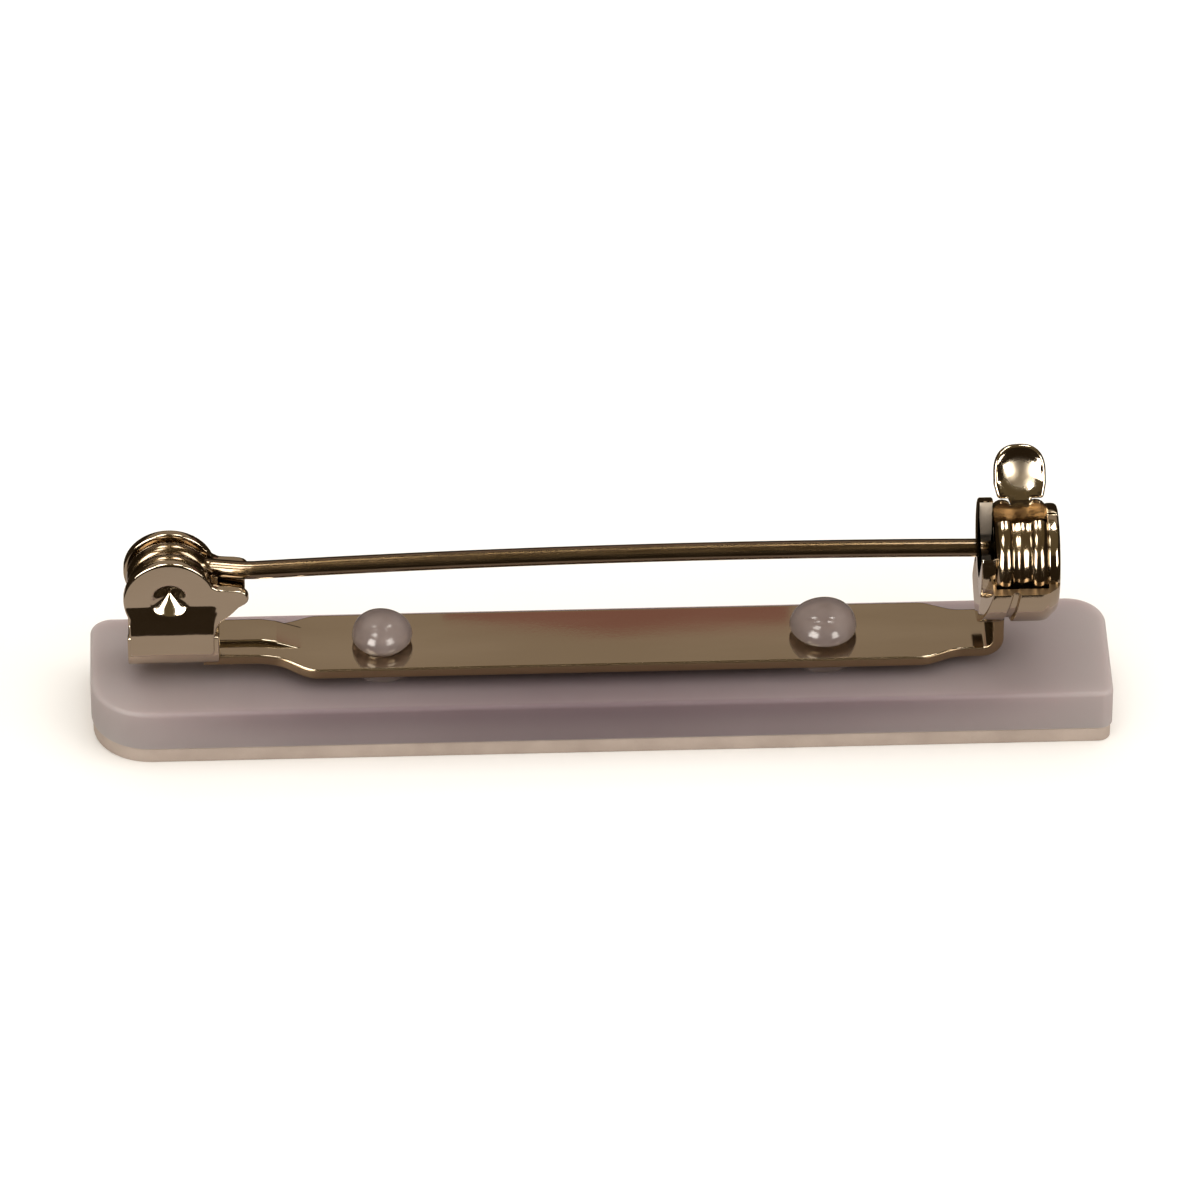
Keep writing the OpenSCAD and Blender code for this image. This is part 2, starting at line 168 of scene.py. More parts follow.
def mouthSheet(centre, radius):
    # C plate: bright outside, and inside its mouth dull, with a pale colour that is painted light;
    # centre and radius are those of its rim in mm
    finish, add, coords = newMaterial("NickelWithPaintedLightInMouth")
    parts = add("ShaderNodeSeparateXYZ", {"Vector": coords["Normal"]}).outputs
    facing = add("ShaderNodeMath", {0: parts["X"]}, absolute)
    sideways = add("ShaderNodeMapRange", {"Value": facing, "From Min": 0.8, "From Max": 0.4}, smoothly)
    flat = add("ShaderNodeVectorMath", {0: coords["Object"], 1: (0.0, 1.0, 1.0)}, multiply)
    away = add("ShaderNodeVectorMath", {0: flat, 1: [v * mm for v in centre]}, distanceBetween)
    rim = radius * mm
    inside = add("ShaderNodeMapRange", {
        "Value": away, "From Min": rim * 0.985, "From Max": rim * 0.95}, smoothly)
    paintedLightMask = add("ShaderNodeMath", {0: sideways, 1: inside}, multiply)
    metal = add("ShaderNodeMapRange", {"Value": paintedLightMask, "To Min": 1.0, "To Max": 0.1}, smoothly)
    marks = add("ShaderNodeTexNoise", {"Vector": coords["Object"], "Scale": 9000.0, "Detail": 2.0})
    looks = oneNoise(add, marks, nickelTint, nickelGloss, 0.1, 0.01)
    # painted light: the inner faces of the mouth are paler
    looks["Base Color"] = add("ShaderNodeMix", {
        0: paintedLightMask, 6: looks["Base Color"], 7: hexColour("#efdfcc")}, inColour)
    mouthGloss = add("ShaderNodeMath", {0: paintedLightMask, 1: 0.45}, multiply)
    looks["Roughness"] = add("ShaderNodeMath", {0: looks["Roughness"], 1: mouthGloss}, maximum)
    return dress(finish, {"Metallic": metal, **looks})


def drawnWire():
    # Nickel-plated spring wire under clear lacquer, with marks along it from the drawing die; its dark tint is
    # painted shade
    finish, add, coords = newMaterial("LacqueredSpringWireWithPaintedShade")
    along = add("ShaderNodeMapping", {"Vector": coords["Object"], "Scale": (0.04, 1.0, 1.0)})
    marks = add("ShaderNodeTexNoise", {"Vector": along, "Scale": 16000.0, "Detail": 3.0})
    # painted shade: the nickel tint is dark brown
    looks = oneNoise(add, marks, colourStops(0.4, "#6f5b40", "#7b674b"), greyStops(0.2, 0.26), 0.06, 0.01)
    return dress(finish, {**lacquered, "Coat Roughness": 0.06, **looks})


def platedStamping():
    # Small stamping, barrel plated with nickel and lacquered, with dents of about 1 mm from tumbling; its
    # darker tint is painted shade
    finish, add, coords = newMaterial("LacqueredBarrelNickelWithPaintedShade")
    dents = add("ShaderNodeTexNoise", {"Vector": coords["Object"], "Scale": 900.0, "Detail": 3.0})
    # painted shade: the nickel tint is darker than the plate's
    looks = oneNoise(add, dents, colourStops(0.3, "#a89476", "#b5a184"), greyStops(0.11, 0.16), 0.2, 0.02)
    return dress(finish, {**lacquered, "Coat Roughness": 0.08, **looks})


def frostedPlastic(length):
    # Moulded polystyrene with a frosted skin: milky lilac grey at the ends, and plum in the middle, which is
    # painted shade of the plate above it; painted shade also darkens the top of its front face, most in the
    # middle
    finish, add, coords = newMaterial("FrostedPolystyreneWithPaintedShade")
    place = coords["Object"]
    parts = add("ShaderNodeSeparateXYZ", {"Vector": place}).outputs
    haze = add("ShaderNodeTexNoise", {"Vector": place, "Scale": 260.0, "Detail": 2.0})
    fromMiddle = add("ShaderNodeMath", {0: parts["X"]}, absolute)
    share = add("ShaderNodeMath", {0: fromMiddle, 1: length / 2 * mm}, {"operation": "DIVIDE"})
    uneven = add("ShaderNodeMath", {0: haze, 1: 0.14, 2: -0.07}, {"operation": "MULTIPLY_ADD"})
    toEnd = add("ShaderNodeMath", {0: share, 1: uneven}, {"operation": "ADD"})
    # own uneven tone, darker towards the middle with painted shade of the plate
    tint = add("ShaderNodeValToRGB", {"Fac": toEnd}, stops=[
        (0.12, hexColour("#7a6c6f")), (0.5, hexColour("#877a7c")),
        (0.88, hexColour("#9d9191")), (1.0, hexColour("#a49b9a"))])
    # painted shade along the top of the front face, strongest in the middle
    front = add("ShaderNodeMapRange", {
        "Value": parts["Y"], "From Min": -2.7 * mm, "From Max": -2.9 * mm}, smoothly)
    upper = add("ShaderNodeMapRange", {
        "Value": parts["Z"], "From Min": 0.9 * mm, "From Max": 2.1 * mm, "To Min": 0.1}, smoothly)
    middle = add("ShaderNodeMapRange", {
        "Value": toEnd, "From Min": 0.55, "From Max": 0.95, "To Min": 1.0, "To Max": 0.12}, smoothly)
    paintedShadeFrontTop = add("ShaderNodeMath", {0: front, 1: upper}, multiply)
    deep = add("ShaderNodeMath", {0: paintedShadeFrontTop, 1: middle}, multiply)
    paintedShadeShare = add("ShaderNodeMath", {0: deep, 1: 0.8}, multiply)
    colour = add("ShaderNodeMix", {0: paintedShadeShare, 6: tint, 7: hexColour("#d2c8cf")},
                 {**inColour, "blend_type": "MULTIPLY"})
    # frosting of about 0.06 mm
    frost = add("ShaderNodeTexNoise", {"Vector": place, "Scale": 16000.0, "Detail": 2.0})
    return dress(finish, {
        "IOR": 1.5, "Specular IOR Level": 0.35, "Subsurface Weight": 0.6,
        "Subsurface Radius": (1.0, 0.8, 0.8), "Subsurface Scale": 1.8 * mm, "Base Color": colour,
        "Roughness": add("ShaderNodeValToRGB", {"Fac": haze}, stops=greyStops(0.42, 0.52)),
        "Normal": add("ShaderNodeBump", {"Height": frost, "Strength": 0.1, "Distance": 0.01 * mm})})


def meltedPlastic():
    # The same plastic where heat has melted the stakes: clearer and glossy
    finish, add, coords = newMaterial("MeltedPolystyrene")
    haze = add("ShaderNodeTexNoise", {"Vector": coords["Object"], "Scale": 900.0, "Detail": 2.0})
    looks = oneNoise(add, haze, colourStops(0.4, "#877874", "#998b87"), greyStops(0.12, 0.19), 0.15, 0.08)
    return dress(finish, {"IOR": 1.55, "Transmission Weight": 0.35, **looks})


def foamTape():
    # Polyethylene foam tape, die cut: matt beige, with cells of about 0.12 mm that show on its cut edge
    finish, add, coords = newMaterial("PolyethyleneFoamTape")
    cloud = add("ShaderNodeTexNoise", {"Vector": coords["Object"], "Scale": 500.0, "Detail": 3.0})
    tint = add("ShaderNodeValToRGB", {"Fac": cloud}, stops=colourStops(0.4, "#a5958a", "#b8a89d"))
    cells = add("ShaderNodeTexVoronoi", {"Vector": coords["Object"], "Scale": 8000.0})
    dimples = add("ShaderNodeBump", {"Height": cells, "Strength": 0.4, "Distance": 0.03 * mm})
    return dress(finish, {"Base Color": tint, "Roughness": 0.85, "Normal": dimples})


def addObject(name, data):
    thing = bpy.data.objects.new(name, data)
    bpy.context.scene.collection.objects.link(thing)
    return thing


def finishPiece(mesh, name, finish, node, sharp=38):
    # welds and smooths a mesh and makes it a piece for a node; edges sharper than these degrees stay crisp
    weld = 0.0004 * mm
    work = bmesh.new()
    work.from_mesh(mesh)
    bmesh.ops.remove_doubles(work, verts=work.verts, dist=weld)
    bmesh.ops.recalc_face_normals(work, faces=work.faces)
    work.to_mesh(mesh)
    work.free()
    for face in mesh.polygons:
        face.use_smooth = True
    mesh.set_sharp_from_angle(angle=math.radians(sharp))
    mesh.materials.clear()
    mesh.materials.append(finish)
    piece = addObject(name, mesh)
    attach(piece, bodyOf[node])
    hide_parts(node)


def loft(shells, name, finish, node, sharp=38):
    # shells: lists of rings, each ring a list of points in mm; every shell becomes one closed surface
    points, faces = [], []
    for rings in shells:
        first, count = len(points), len(rings[0])
        last = first + (len(rings) - 1) * count
        points += [tuple(float(v) * mm for v in p) for ring in rings for p in ring]
        for low in range(first, last, count):
            for i in range(count):
                j = (i + 1) % count
                faces.append((low + i, low + j, low + count + j, low + count + i))
        faces.append(tuple(first + i for i in reversed(range(count))))
        faces.append(tuple(last + i for i in range(count)))
    mesh = bpy.data.meshes.new(name)
    mesh.from_pydata(points, [], faces)
    finishPiece(mesh, name, finish, node, sharp)


def filletOutline(corners, steps=6):
    # corners: (x, y, radius), turned into an outline with rounded corners; a support point on each side of a
    # rounding keeps the flat sides flat when they are shaded
    support, leastSupport, leastCut = 0.05, 0.004, 1e-4
    outline = []
    for i, (x, y, radius) in enumerate(corners):
        here = np.array((x, y), float)
        back = np.array(corners[i - 1][:2], float) - here
        ahead = np.array(corners[(i + 1) % len(corners)][:2], float) - here
        shorter = min(np.linalg.norm(back), np.linalg.norm(ahead))
        back, ahead = back / np.linalg.norm(back), ahead / np.linalg.norm(ahead)
        half = math.acos(max(-1, min(1, float(back @ ahead)))) / 2
        cut = min(radius / max(math.tan(half), 1e-6), 0.48 * shorter)
        if cut < leastCut:
            outline.append(here)
            continue
        spare = min(support, 0.45 * (0.5 * shorter - cut))
        if spare > leastSupport:
            outline.append(here + back * (cut + spare))
        first, last = here + back * cut, here + ahead * cut
        for k in range(steps + 1):
            t = k / steps
            outline.append((1 - t) ** 2 * first + 2 * t * (1 - t) * here + t * t * last)
        if spare > leastSupport:
            outline.append(here + ahead * (cut + spare))
    return np.array(outline)


def insetOutline(outline, distance):
    # outline is anticlockwise; each point moves inwards along its mitre
    along = np.roll(outline, -1, 0) - outline
    along /= np.maximum(np.linalg.norm(along, axis=1), 1e-9)[:, None]
    before = np.roll(along, 1, 0)
    normalAfter = np.stack([-along[:, 1], along[:, 0]], 1)
    normalBefore = np.stack([-before[:, 1], before[:, 0]], 1)
    mitre = normalAfter + normalBefore
    mitre /= np.maximum(1 + np.sum(normalAfter * normalBefore, 1), 0.4)[:, None]
    return outline + mitre * distance


def roundedLevels(low, high, lowEdge, highEdge, steps, support):
    # (inset, height) of the rings of a plate with rounded edges; the first and last support its flat faces
    levels = [(lowEdge + support, low)]
    quarter = [math.pi / 2 * k / steps for k in range(steps + 1)]
    for angle in quarter:
        levels.append((lowEdge * (1 - math.sin(angle)), low + lowEdge * (1 - math.cos(angle))))
    for angle in reversed(quarter):
        levels.append((highEdge * (1 - math.sin(angle)), high - highEdge * (1 - math.cos(angle))))
    levels.append((highEdge + support, high))
    return levels


def roundedSection(halfWidth, halfHeight, edge, steps=4, support=0.05):
    # anticlockwise rounded rectangle around the origin, with support points beside its roundings
    points = []
    for sideX, sideY, start in ((1, 1, 0), (-1, 1, 90), (-1, -1, 180), (1, -1, 270)):
        x, y = sideX * (halfWidth - edge), sideY * (halfHeight - edge)
        first, last = math.radians(start), math.radians(start + 90)
        arc = [(x + edge * math.cos(a), y + edge * math.sin(a)) for a in np.linspace(first, last, steps + 1)]
        points.append((arc[0][0] + support * math.sin(first), arc[0][1] - support * math.cos(first)))
        points += arc
        points.append((arc[-1][0] - support * math.sin(last), arc[-1][1] + support * math.cos(last)))
    return points


def rectangle(xs, ys, last):
    # its corners anticlockwise; last is the height or the rounding of them all
    return [(xs[0], ys[0], last), (xs[1], ys[0], last), (xs[1], ys[1], last), (xs[0], ys[1], last)]


def sweptRings(outline, start, end, edges, height):
    # outline of (y, z) swept along the bar; edges are the (along, inset) steps of its rounded ends
    rings = []
    for x, way in ((start, 1), (end, -1)):
        for along, inset in edges[::way]:
            rings.append([(x + way * along, u, height + v) for u, v in insetOutline(outline, inset)])
    return rings


def smoothRow(values, width):
    # moving average that keeps the ends
    padded = np.concatenate([np.full(width, values[0]), values, np.full(width, values[-1])])
    kernel = np.ones(2 * width + 1) / (2 * width + 1)
    return np.convolve(padded, kernel, "same")[width:-width]


def softPositive(value, softness):
    # value where it is above zero and else zero, with a rounded bend between
    return 0.5 * (value + math.sqrt(value * value + softness ** 2))


def within(value, low=0.0, high=1.0):
    return max(low, min(high, value))


def revolve(profile, start, end, steps, shear=None):
    # closed profile of (x, radius) turned about the catch's axis; angles in degrees from the top to the front
    rings = []
    for angle in np.radians(np.linspace(start, end, steps + 1)):
        ring = []
        for x, radius in profile:
            shift = shear(x, -radius * math.cos(angle)) if shear else 0
            ring.append((x + shift, -radius * math.sin(angle), level["catch"] + radius * math.cos(angle)))
        rings.append(ring)
    return rings


base = {
    "length": 38.1,
    "width": 5.9,
    "bottom": 0.65,
    "radii": (2.2, 0.45, 1.45, 0.8),   # front left, front right, back right, back left
    "topEdge": 0.14,
    "bottomEdge": 0.06,
}
plasticFinish = frostedPlastic(base["length"])


def cornerOutline(length, width, inset, steps=14):
    points = []
    corners = zip(((-1, -1), (1, -1), (1, 1), (-1, 1)), base["radii"], (180, 270, 0, 90))
    for (sideX, sideY), radius, start in corners:
        r = max(radius - inset, 0.02)
        x, y = sideX * (length / 2 - inset - r), sideY * (width / 2 - inset - r)
        for angle in np.radians(np.linspace(start, start + 90, steps + 1)):
            points.append((x + r * math.cos(angle), y + r * math.sin(angle)))
    return points


def barRings(length, width, low, high, lowEdge, highEdge):
    levels = roundedLevels(low, high, lowEdge, highEdge, 5, 0.15)
    return [[(x, y, z) for x, y in cornerOutline(length, width, inset)] for inset, z in levels]


bar = barRings(base["length"], base["width"], base["bottom"], level["baseTop"],
               base["bottomEdge"], base["topEdge"])
loft([bar], "base_bar_body", plasticFinish, "base_bar")

stakes = {
    "left": {"x": -8.15, "headRadius": 1.15},
    "right": {"x": 8.35, "headRadius": 1.28},
    "footDepth": 0.1,       # how deep it starts inside the bar
    "shaftRadius": 0.85,
    "shoulderRadius": 1.3,
    "rootFlare": 0.1,
    "gap": 0.02,            # to both faces of the plate
    "rim": 0.36,
    "dome": 0.8,
}


def stakeProfile(head):
    # foot, shoulder under the plate, shaft, flared root, steep side and flattened dome of the melted head
    foot, under = level["baseTop"] - stakes["footDepth"], level["plateUnder"] - stakes["gap"]
    top = level["plateTop"]
    rim = top + stakes["rim"]
    shaft, shoulder = stakes["shaftRadius"], stakes["shoulderRadius"]
    root = shaft + stakes["rootFlare"]
    profile = [(0.02, foot), (shoulder, foot), (shoulder, under), (shaft, under),
               (shaft, top + stakes["gap"]), (root, top + 0.03)]
    for t in np.linspace(0, 1, 6):
        profile.append((head - (head - root) * (1 - t) ** 1.8, top + 0.04 + (rim - top - 0.08) * t))
    for angle in np.linspace(0, math.pi / 2, 13):   # squarer than a ball
        height = rim + stakes["dome"] * math.sin(angle) ** 1.05
        profile.append((max(head * max(math.cos(angle), 0.0) ** 0.8, 0.02), height))
    return profile


def stakeRings(x, head, sides=48):
    rings = []
    for radius, z in stakeProfile(head):
        ring = []
        for k in range(sides):
            angle = 2 * math.pi * k / sides
            # melted heads aren't quite round
            melt = 1 - 0.02 * (1 + math.sin(3 * angle + x)) * within((z - level["plateTop"]) / 0.4)
            ring.append((x + radius * melt * math.cos(angle), radius * melt * math.sin(angle), z))
        rings.append(ring)
    return rings


loft([stakeRings(stakes[side]["x"], stakes[side]["headRadius"]) for side in ("left", "right")],
     "melted_stakes", meltedPlastic(), "base_bar", sharp=50)

tape = {"inset": 0.06, "top": 0.63, "edge": 0.05}
tapeRings = barRings(base["length"] - 2 * tape["inset"], base["width"] - 2 * tape["inset"],
                     0.0, tape["top"], tape["edge"], tape["edge"])
loft([tapeRings], "adhesive_strip", foamTape(), "adhesive_pad")
print("plastic base, stakes and tape: made")


plate = {
    "thickness": 0.42,
    "halfWidth": 1.675,
    "wideFrom": -11.05,
    "wideTo": 12.45,
    "hingeNeckHalf": 1.05,
    "catchNeckHalf": 1.2,
    "start": -14.8,
    "stepLength": 1.6,      # the neck's slope down to the plate
    "bendX": 14.2,
    "bendRadius": 0.61,     # to the middle of the sheet
    "uprightTop": 4.5,
    "edge": 0.07,
    "station": 0.1,
    "soften": 5,            # stations over which corners of the outline are rounded
}
stepFrom = plate["wideFrom"] - plate["stepLength"]


def plateStations():
    # middle line of the sheet as (x, z, half width), from the hinge neck to the top of the upright
    half, wide = plate["thickness"] / 2, plate["halfWidth"]
    chamferLeft = plate["wideFrom"] - (wide - plate["hingeNeckHalf"])
    chamferRight = plate["wideTo"] + (wide - plate["catchNeckHalf"])
    xs = np.arange(plate["start"], plate["bendX"] + 0.001, plate["station"])
    neckMiddle, plateMiddle = level["neckUnder"] + half, level["plateUnder"] + half
    heights = np.interp(xs, [stepFrom, plate["wideFrom"]], [neckMiddle, plateMiddle])
    widths = np.interp(xs, [chamferLeft, plate["wideFrom"], plate["wideTo"], chamferRight],
                       [plate["hingeNeckHalf"], wide, wide, plate["catchNeckHalf"]])
    heights, widths = smoothRow(heights, plate["soften"] - 2), smoothRow(widths, plate["soften"])
    line = [(x, z, w) for x, z, w in zip(xs, heights, widths)]
    for angle in np.radians(np.arange(9, 91, 9)):
        x = plate["bendX"] + plate["bendRadius"] * math.sin(angle)
        z = plateMiddle + plate["bendRadius"] * (1 - math.cos(angle))
        line.append((x, z, plate["catchNeckHalf"]))
    line.append((plate["bendX"] + plate["bendRadius"], plate["uprightTop"], plate["catchNeckHalf"]))
    return line


def stripRings():
    stations = plateStations()
    rings = []
    for i, (x, z, halfWidth) in enumerate(stations):
        before, after = stations[max(i - 1, 0)], stations[min(i + 1, len(stations) - 1)]
        angle = math.atan2(after[1] - before[1], after[0] - before[0])
        section = roundedSection(halfWidth, plate["thickness"] / 2, plate["edge"])
        rings.append([(x - v * math.sin(angle), u, z + v * math.cos(angle)) for u, v in section])
    return rings


loft([stripRings()], "plate_strip", platedSheet("NickelStripWithPaintedEdgeShade", shadedEdgeAxis="Y"), "bar_plate")

rib = {
    "from": -14.6,
    "to": -11.0,
    "front": -0.36,
    "back": 0.99,
    "rise": 0.2,
    "round": 0.09,
    "fade": 1.1,            # length over which it runs out at its right end
    "sink": 0.02,
}


def ribRings():
    # pressed bead on the hinge neck, steep in front; it runs out to the right into the plate
    bottom, size = level["neckUnder"] + 0.1, rib["round"]
    rings = []
    for x in np.linspace(rib["from"], rib["to"], 60):
        under = np.interp(x, [stepFrom, plate["wideFrom"]], [level["neckUnder"], level["plateUnder"]])
        top = plate["thickness"] - rib["sink"] + under + rib["rise"] * min(1.0, (rib["to"] - x) / rib["fade"])
        ring = [(x, rib["front"], bottom)]
        for edge, way in ((rib["front"], 1), (rib["back"], -1)):
            rounding = [(x, edge + way * size * (1 - math.cos(a)), top - size * (1 - math.sin(a)))
                        for a in np.linspace(0, math.pi / 2, 7)]
            rounding.append((x, edge + way * (size + 0.05), top))
            ring += rounding[::way]
        ring.append((x, rib["back"], bottom))
        rings.append(ring)
    return rings


sheetFinish = platedSheet()
loft([ribRings()], "neck_rib", sheetFinish, "bar_plate")
print("plate: made")


hinge = {
    "from": -17.6,
    "to": -14.2,
    "halfWidth": 1.2,
    "height": 1.48,
    "wall": 0.36,
    "bend": 0.6,
    "edge": 0.06,
    "earRadius": 1.71,
    "earThickness": 0.34,
    "earGap": 1.46,
    "earEdge": 0.07,
    "rootFrom": -1.5,       # the ear's root inside the channel, from the hinge axis
    "rootTo": 1.62,
    "rootHeight": 0.64,
    "slantFrom": 0.27,      # both below the hinge axis
    "slantTo": 1.5,
    "slantRight": 1.85,
    "slant": 0.17,
    "dimpleRadius": 0.72,
    "dimpleDepth": 0.56,
    "bossRadius": 0.86,
    "bossLength": 0.42,
    "bossEdge": 0.06,
    "discRadius": 1.5,      # inside it the rings of the ear's face are round
}
# the ear's tail and its round end, from the hinge axis
tailOutline = [(1, 1.05), (1.5, 0.66), (1.9, 0.42), (2.6, 0.38), (2.62, -0.32), (2.3, -0.7), (1.8, -1.15),
               (1.6, -1.75), (0, -1.75)]
tailEnd = {"x": 2.58, "z": 0.03, "radius": 0.36}


def channelRings():
    # U section, swept along the bar with rounded lips
    outer, tall, sheet, lip = hinge["halfWidth"], hinge["height"], plate["thickness"], 0.1
    inner = outer - hinge["wall"]
    outline = filletOutline([
        (-outer, 0, hinge["bend"]), (outer, 0, hinge["bend"]), (outer, tall, lip), (inner, tall, lip),
        (inner, sheet, 0.14), (-inner, sheet, 0.14), (-inner, tall, lip), (-outer, tall, lip)])
    edges = ((0, hinge["edge"]), (0.02, 0.02), (hinge["edge"], 0))
    return sweptRings(outline, hinge["from"], hinge["to"], edges, level["neckUnder"])


def earOutline(sides=240):
    # distance from the hinge axis to the ear's edge for each direction: disc, root and tail together
    rootZ = level["neckUnder"] + hinge["rootHeight"] - level["hinge"]
    left, right = hinge["rootFrom"], hinge["rootTo"]
    root = [(left, 0), (left, rootZ), (right, rootZ), (right, 0)]
    tip = [(tailEnd["x"] + tailEnd["radius"] * math.cos(a), tailEnd["z"] + tailEnd["radius"] * math.sin(a))
           for a in np.linspace(-1.5, 1.5, 12)] + [(0, 0)]
    angles = [2 * math.pi * k / sides for k in range(sides)]
    reach = []
    for angle in angles:
        wayX, wayY = math.cos(angle), math.sin(angle)
        best = hinge["earRadius"]
        for shape in (tailOutline, root, tip):
            for (ax, ay), (bx, by) in zip(shape, shape[1:] + shape[:1]):
                across = wayX * (by - ay) - wayY * (bx - ax)
                if abs(across) < 1e-9:
                    continue
                t = (ax * (by - ay) - ay * (bx - ax)) / across
                s = (ax * wayY - ay * wayX) / across
                if t > 0 and -1e-9 <= s <= 1 + 1e-9:
                    best = max(best, t)
        reach.append(best)
    reach = (np.roll(reach, 1) + reach + np.roll(reach, -1)) / 3
    return np.array([(r * math.cos(a), r * math.sin(a)) for r, a in zip(reach, angles)])


def pressedDepth(across, height):
    # conical dimple with a rounded lip; below the axis the ear slants out to the channel's wall
    cone = hinge["dimpleDepth"] * (1 - math.hypot(across, height) / hinge["dimpleRadius"])
    slant = softPositive(-height - hinge["slantFrom"], 0.03) - softPositive(-height - hinge["slantTo"], 0.03)
    fade = within((hinge["slantRight"] - across) / 0.25)
    return softPositive(cone, 0.05) - hinge["slant"] * slant * fade


def earRings(side):
    # boss on the inner face, then the inner face, the rounded edge and the pressed outer face
    outline = earOutline()
    lengths = np.linalg.norm(outline, axis=1)
    inner, outer = hinge["earGap"] / 2, hinge["earGap"] / 2 + hinge["earThickness"]
    edge, boss, bossEdge = hinge["earEdge"], hinge["bossRadius"], hinge["bossEdge"]
    bossEnd = inner - hinge["bossLength"]

    def edgeRing(inset, depth):
        points = outline * ((lengths - inset) / lengths)[:, None]
        return [(hingeX + u, side * depth, level["hinge"] + v) for u, v in points]

    def roundRing(radius, depth):
        return [(hingeX + radius * u / n, side * depth, level["hinge"] + radius * v / n)
                for (u, v), n in zip(outline, lengths)]

    bossProfile = [(0.02, bossEnd), (boss - bossEdge, bossEnd), (boss, bossEnd + bossEdge), (boss, inner)]
    rings = [roundRing(radius, depth) for radius, depth in bossProfile]
    rings += [edgeRing(inset, depth) for inset, depth in roundedLevels(inner, outer, edge, edge, 4, 0.05)]
    rim, disc = np.array(rings[-1]), np.array(roundRing(hinge["discRadius"], outer))
    for share in np.linspace(0, 1, 11)[1:-1]:
        rings.append([tuple(p) for p in rim + (disc - rim) * share])
    # close together around the dimple's lip
    radii = [1.42, 1.34, 1.26, 1.18, 1.1, 1.0, 0.92, 0.85, 0.8, 0.76, 0.72, 0.68, 0.62, 0.54, 0.44, 0.34,
             0.24, 0.14, 0.07, 0.015]
    rings += [roundRing(radius, outer) for radius in [hinge["discRadius"]] + radii]
    middle = (inner + outer) / 2

    def press(x, y, z):
        if side * y <= middle:
            return (x, y, z)
        return (x, y - side * pressedDepth(x - hingeX, z - level["hinge"]), z)

    return [[press(*point) for point in ring] for ring in rings]


loft([channelRings()], "hinge_channel", sheetFinish, "bar_plate")
for side, name in ((-1, "ear_front"), (1, "ear_back")):
    loft([earRings(side)], name, sheetFinish, "bar_plate")

# ledge between the tails, under the wire
ledge = {"from": 1.78, "to": 2.8, "top": 0.09, "thickness": 0.34, "halfWidth": 0.8, "round": 0.08}
ledgeTop = level["hinge"] + ledge["top"]
ledgeOutline = filletOutline(rectangle((hingeX + ledge["from"], hingeX + ledge["to"]),
                                       (ledgeTop - ledge["thickness"], ledgeTop), ledge["round"]))
loft([[[(u, y, v) for u, v in ledgeOutline] for y in (-ledge["halfWidth"], ledge["halfWidth"])]],
     "wire_ledge", sheetFinish, "bar_plate")
print("hinge: made")


wire = {
    "diameter": 0.68,
    "coilRadius": 1.26,
    "coilSide": 0.35,       # how far each turn lies from the middle
    "turns": 1.5,
    "swing": 2.2,           # length over which it swings to the middle of the bar after the coil
    "kinkRadius": 0.7,
    "bowRadius": 390.0,
    "crownX": 5.0,
    "crownHeight": 4.83,    # above the plastic
    "pointX": 16.2,
    "pointLength": 2.2,
    "pointRadius": 0.05,
    "spacing": 0.08,
}


def meet(p, r, q, s):
    # point at distance r from p and s from q
    p, q = np.array(p), np.array(q)
    d = np.linalg.norm(q - p)
    u = (q - p) / d
    a = (r * r - s * s + d * d) / (2 * d)
    return p + a * u + math.sqrt(r * r - a * a) * np.array((-u[1], u[0]))


def wirePath():
    # points along the middle of the wire: coil around the hinge axis, kink, then the slow bow to the point
    coil, kink, bow, side = wire["coilRadius"], wire["kinkRadius"], wire["bowRadius"], wire["coilSide"]
    coilX, coilZ = hingeX, level["hinge"]
    bowX, bowZ = wire["crownX"], level["baseTop"] + wire["crownHeight"] - bow
    kinkX, kinkZ = meet((coilX, coilZ), coil + kink, (bowX, bowZ), bow + kink)
    leave = math.atan2(kinkZ - coilZ, kinkX - coilX)
    path = []
    for left in np.linspace(wire["turns"], 0, 145):      # turns that are still to come
        angle = leave + 2 * math.pi * left
        y = np.interp(left, [0.5, 1.0], [side, -side])   # it crosses over at the bottom
        path.append((coilX + coil * math.cos(angle), y, coilZ + coil * math.sin(angle)))
    coilCount, coilEnd = len(path), path[-1][0]
    start, end = leave + math.pi, math.atan2(bowZ - kinkZ, bowX - kinkX)
    end += 2 * math.pi * round((start - end) / (2 * math.pi))
    for angle in np.linspace(start, end, 13)[1:]:
        path.append((kinkX + kink * math.cos(angle), 0, kinkZ + kink * math.sin(angle)))
    for x in np.linspace(path[-1][0] + 0.15, wire["pointX"], 90):
        path.append((x, 0, bowZ + math.sqrt(bow ** 2 - (x - bowX) ** 2)))
    for i, (x, y, z) in enumerate(path[coilCount:], coilCount):
        t = within((x - coilEnd) / wire["swing"])
        path[i] = (x, side * (1 - t) ** 2 * (1 + 2 * t), z)
    return path


def startTree(name, start, numbers, counts=()):
    # geometry node group with named inputs, a function that adds a node to it, and those inputs' sockets
    tree = bpy.data.node_groups.new(name, "GeometryNodeTree")
    sockets = [(start, "Geometry")] + [(label, "Int") for label in counts]
    sockets += [(label, "Float") for label in numbers] + [("Finish", "Material")]
    for label, kind in sockets:
        tree.interface.new_socket(label, in_out="INPUT", socket_type="NodeSocket" + kind)
    tree.interface.new_socket("Shape", in_out="OUTPUT", socket_type="NodeSocketGeometry")
    add = partial(addNode, tree)
    return tree, add, add("NodeGroupInput").outputs


def endTree(tree, mesh, finish):
    # instances become real faces, and all of them get their finish
    real = addNode(tree, "GeometryNodeRealizeInstances", {"Geometry": mesh})
    dressed = addNode(tree, "GeometryNodeSetMaterial", {"Geometry": real, "Material": finish})
    addNode(tree, "NodeGroupOutput", {"Shape": dressed})
    return tree


